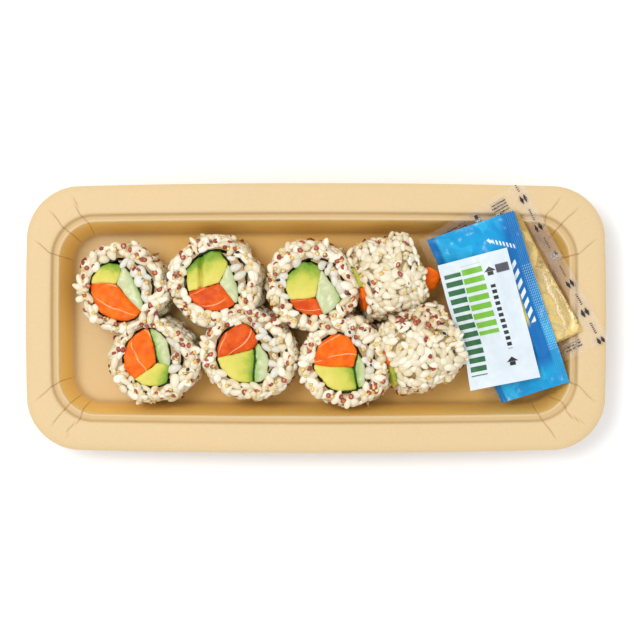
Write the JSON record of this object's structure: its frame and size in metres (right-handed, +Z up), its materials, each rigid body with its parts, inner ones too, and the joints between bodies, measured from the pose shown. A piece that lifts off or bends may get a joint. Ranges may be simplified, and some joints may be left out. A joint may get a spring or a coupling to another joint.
{
  "type": "sushi tray",
  "caption": "Takeaway sushi in a rectangular pressed-board tray: inside-out rolls filled with salmon, avocado and cucumber, with flat condiment sachets at one end.",
  "frame": {"origin": "centre of the tray's footprint, at its underside", "axes": "+X along the tray, towards the end with the sachets; +Y across it, towards the top of the picture; +Z up"},
  "size_m": [0.2558, 0.119, 0.0368],
  "materials": {
    "board": "matt kraft-coloured pressed board",
    "rice": "moist cooked sushi rice with red and golden seeds; ceramic stands in for food",
    "nori": "dark green-black pressed seaweed sheet, slightly moist; leather stands in for food",
    "salmon": "raw orange fish, moist, with pale lines; rubber stands in for food",
    "avocado": "soft yellow-green flesh; rubber stands in for food",
    "cucumber": "pale wet flesh with a dark green skin; rubber stands in for food",
    "ginger_sachet": "clear film over pale pickled ginger",
    "blue_sachet": "printed glossy film, bright blue",
    "white_sachet": "white coated paper with plain green blocks"
  },
  "bodies": {
    "root": {"tray": "board", "roll_1_rice": "rice", "roll_1_nori": "nori", "roll_1_salmon": "salmon", "roll_1_avocado": "avocado", "roll_1_cucumber": "cucumber", "roll_2_rice": "rice", "roll_2_nori": "nori", "roll_2_salmon": "salmon", "roll_2_avocado": "avocado", "roll_2_cucumber": "cucumber", "roll_3_rice": "rice", "roll_3_nori": "nori", "roll_3_salmon": "salmon", "roll_3_avocado": "avocado", "roll_3_cucumber": "cucumber", "roll_4_rice": "rice", "roll_4_nori": "nori", "roll_4_salmon": "salmon", "roll_4_avocado": "avocado", "roll_4_cucumber": "cucumber", "roll_5_rice": "rice", "roll_5_nori": "nori", "roll_5_salmon": "salmon", "roll_5_avocado": "avocado", "roll_5_cucumber": "cucumber", "roll_6_rice": "rice", "roll_6_nori": "nori", "roll_6_salmon": "salmon", "roll_6_avocado": "avocado", "roll_6_cucumber": "cucumber", "roll_7_rice": "rice", "roll_7_nori": "nori", "roll_7_salmon": "salmon", "roll_7_avocado": "avocado", "roll_7_cucumber": "cucumber", "roll_8_rice": "rice", "roll_8_nori": "nori", "roll_8_salmon": "salmon", "roll_8_avocado": "avocado", "roll_8_cucumber": "cucumber", "ginger_sachet": "ginger_sachet", "blue_sachet": "blue_sachet", "white_sachet": "white_sachet"}
  },
  "joints": []
}
